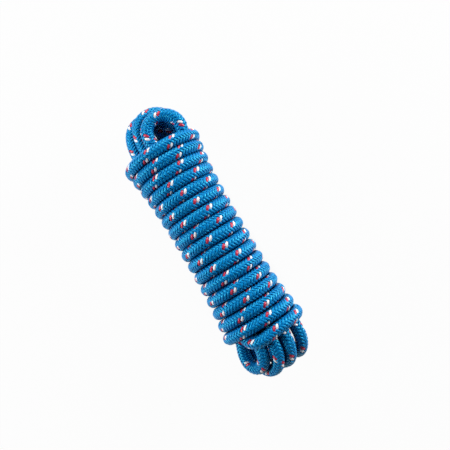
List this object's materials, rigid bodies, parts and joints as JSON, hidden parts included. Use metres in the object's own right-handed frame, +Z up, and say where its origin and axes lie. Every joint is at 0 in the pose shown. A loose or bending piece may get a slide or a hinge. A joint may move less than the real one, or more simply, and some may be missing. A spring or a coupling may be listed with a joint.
{
  "type": "climbing rope",
  "caption": "Bright blue braided rope with red and white tracers, laid lengthwise in loops and wrapped round into a tight hank",
  "frame": {"origin": "middle of the underside of the box round the hank, which lies on its back on the surface", "axes": "+X across the hank, +Y along it towards the top loops, +Z up, out of the front of the hank"},
  "size_m": [0.082, 0.2836, 0.068],
  "materials": {
    "blue_braid": "braided filament yarn, slightly glossy",
    "core_yarn": "twisted white yarn",
    "end_sleeve": "clear shrunk film over the braid"
  },
  "bodies": {
    "root": {"lengthwise_coil": "blue_braid", "wrap_turns": "blue_braid", "first_turn": "blue_braid", "tail": "blue_braid", "start_end_sheath": "blue_braid", "start_end_core": "core_yarn", "start_end_sleeve": "end_sleeve", "tail_end_sheath": "blue_braid", "tail_end_core": "core_yarn", "tail_end_sleeve": "end_sleeve"}
  },
  "joints": []
}
